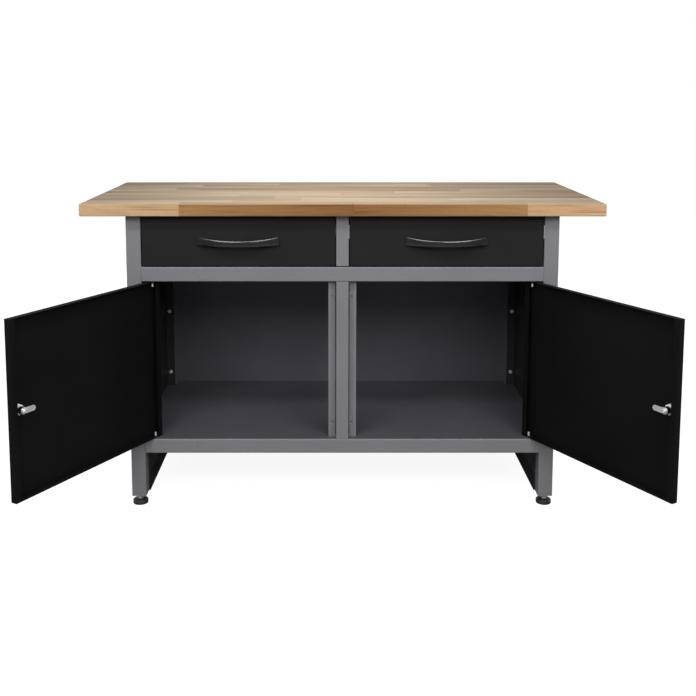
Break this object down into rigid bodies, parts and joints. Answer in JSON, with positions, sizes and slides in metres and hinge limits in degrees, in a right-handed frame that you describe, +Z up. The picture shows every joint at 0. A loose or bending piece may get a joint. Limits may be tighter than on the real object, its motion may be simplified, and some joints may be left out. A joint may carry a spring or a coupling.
{
  "type": "workbench with drawers",
  "caption": "Steel-framed workbench with a thick beech worktop, drawers on ball-bearing slides, a cabinet with hinged lockable doors below and levelling feet.",
  "frame": {"origin": "on the floor, under the middle of the frame and worktop", "axes": "+Z up, +X to the bench's right as seen from the front, -Y out of the front"},
  "size_m": [1.555, 0.987, 0.85],
  "materials": {
    "beech": "glued beech staves, oiled, satin",
    "frame_paint": "grey powder coat, fine texture",
    "panel_paint": "dark slate grey powder coat, satin",
    "door_black": "deep black powder coat, satin",
    "side_black": "charcoal black powder coat, satin",
    "black_paint": "black powder coat, satin",
    "handle_black": "black satin plastic",
    "black_zinc": "black plated screws",
    "bright_zinc": "bright zinc plated steel",
    "lock_chrome": "nickel plated, satin",
    "foot_plastic": "black moulded plastic",
    "nylon": "black nylon"
  },
  "bodies": {
    "frame": {"worktop": "beech", "leg_front_left": "frame_paint", "leg_front_right": "frame_paint", "leg_rear_left": "frame_paint", "leg_rear_right": "frame_paint", "front_middle_rail": "frame_paint", "front_bottom_rail": "frame_paint", "front_upper_rail": "frame_paint", "rear_top_rail": "frame_paint", "rear_bottom_rail": "frame_paint", "side_top_rails": "frame_paint", "centre_post_upper": "frame_paint", "centre_post_lower": "frame_paint", "drawer_divider": "frame_paint", "side_panel_left": "side_black", "side_panel_right": "side_black", "back_panel": "panel_paint", "cabinet_floor": "panel_paint", "side_panel_bolts": "bright_zinc", "back_panel_screws": "black_zinc", "worktop_screws": "bright_zinc", "slide_fixing_screws": "bright_zinc", "door_hinge_pins": "bright_zinc", "leg_end_plates": "frame_paint", "foot_lock_nuts": "bright_zinc", "outer_slides": "bright_zinc"},
    "foot_front_left": {"foot_pad_front_left": "foot_plastic", "foot_stud_front_left": "bright_zinc"},
    "foot_front_right": {"foot_pad_front_right": "foot_plastic", "foot_stud_front_right": "bright_zinc"},
    "foot_rear_left": {"foot_pad_rear_left": "foot_plastic", "foot_stud_rear_left": "bright_zinc"},
    "foot_rear_right": {"foot_pad_rear_right": "foot_plastic", "foot_stud_rear_right": "bright_zinc"},
    "door_left": {"door_panel_left": "door_black", "door_bushes_left": "nylon", "lock_housing_left": "lock_chrome", "lock_barrel_nut_left": "lock_chrome"},
    "lock_left": {"lock_plug_left": "lock_chrome", "lock_cam_left": "bright_zinc", "lock_cam_screw_left": "bright_zinc"},
    "drawer_left": {"drawer_front_left": "black_paint", "drawer_tray_left": "black_paint", "drawer_handle_left": "handle_black", "drawer_fasteners_left": "bright_zinc", "inner_slides_left": "bright_zinc"},
    "slide_middle_left": {"middle_slides_left": "bright_zinc"},
    "door_right": {"door_panel_right": "door_black", "door_bushes_right": "nylon", "lock_housing_right": "lock_chrome", "lock_barrel_nut_right": "lock_chrome"},
    "lock_right": {"lock_plug_right": "lock_chrome", "lock_cam_right": "bright_zinc", "lock_cam_screw_right": "bright_zinc"},
    "drawer_right": {"drawer_front_right": "black_paint", "drawer_tray_right": "black_paint", "drawer_handle_right": "handle_black", "drawer_fasteners_right": "bright_zinc", "inner_slides_right": "bright_zinc"},
    "slide_middle_right": {"middle_slides_right": "bright_zinc"}
  },
  "joints": [
    {"name": "door_left_hinge", "type": "hinge", "parent": "frame", "child": "door_left", "pos_m": [-0.518, -0.2525, 0.4125], "axis": [0, 0, 1], "range_deg": [-10, 120]},
    {"name": "lock_left_turn", "type": "hinge", "parent": "door_left", "child": "lock_left", "pos_m": [-0.74452, -0.66385, 0.41], "axis": [0.866, -0.5, 0], "range_deg": [0, 180]},
    {"name": "drawer_left_slide", "type": "slide", "parent": "frame", "child": "drawer_left", "axis": [0, -1, 0], "range_m": [0, 0.45]},
    {"name": "slide_middle_left_slide", "type": "slide", "parent": "frame", "child": "slide_middle_left", "axis": [0, -1, 0], "range_m": [0, 0.225]},
    {"name": "door_right_hinge", "type": "hinge", "parent": "frame", "child": "door_right", "pos_m": [0.518, -0.2525, 0.4125], "axis": [0, 0, -1], "range_deg": [-10, 120]},
    {"name": "lock_right_turn", "type": "hinge", "parent": "door_right", "child": "lock_right", "pos_m": [0.74452, -0.66385, 0.41], "axis": [-0.866, -0.5, 0], "range_deg": [-180, 0]},
    {"name": "drawer_right_slide", "type": "slide", "parent": "frame", "child": "drawer_right", "axis": [0, -1, 0], "range_m": [0, 0.45]},
    {"name": "slide_middle_right_slide", "type": "slide", "parent": "frame", "child": "slide_middle_right", "axis": [0, -1, 0], "range_m": [0, 0.225]},
    {"name": "foot_front_left_height", "type": "slide", "parent": "frame", "child": "foot_front_left", "axis": [0, 0, -1], "range_m": [0, 0.015]},
    {"name": "foot_front_right_height", "type": "slide", "parent": "frame", "child": "foot_front_right", "axis": [0, 0, -1], "range_m": [0, 0.015]},
    {"name": "foot_rear_left_height", "type": "slide", "parent": "frame", "child": "foot_rear_left", "axis": [0, 0, -1], "range_m": [0, 0.015]},
    {"name": "foot_rear_right_height", "type": "slide", "parent": "frame", "child": "foot_rear_right", "axis": [0, 0, -1], "range_m": [0, 0.015]}
  ],
  "couplings": [
    {"joint": "slide_middle_left_slide", "follows": "drawer_left_slide", "ratio": 0.5},
    {"joint": "slide_middle_right_slide", "follows": "drawer_right_slide", "ratio": 0.5}
  ]
}
